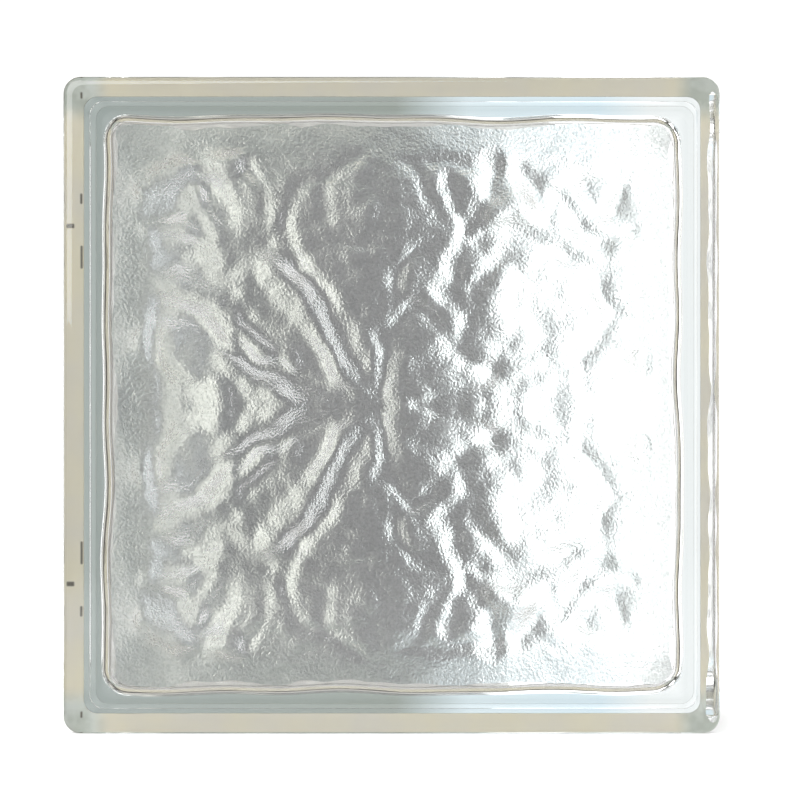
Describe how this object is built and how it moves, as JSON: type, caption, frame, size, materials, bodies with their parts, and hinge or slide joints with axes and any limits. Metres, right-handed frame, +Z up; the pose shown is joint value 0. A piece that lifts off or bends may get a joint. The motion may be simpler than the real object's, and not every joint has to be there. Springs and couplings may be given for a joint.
{
  "type": "glass block",
  "caption": "Hollow square wall block of clear pressed glass: two half-shells fused at the middle, wave relief inside, lips round both faces and a mortar channel on all four edges.",
  "frame": {"origin": "middle of the underside, on the floor that the block's lower lips rest on", "axes": "+Z up, X along the width of the square faces, Y through the depth; the front face looks along -Y"},
  "size_m": [0.19, 0.08, 0.19],
  "materials": {
    "clear_glass": "clear pressed soda-lime glass, fire-polished outside, stippled wave relief inside; an opaque cream mortar-grip coating on the sloped flanks behind the lips"
  },
  "bodies": {
    "root": {"front_half": "clear_glass", "back_half": "clear_glass"}
  },
  "joints": []
}
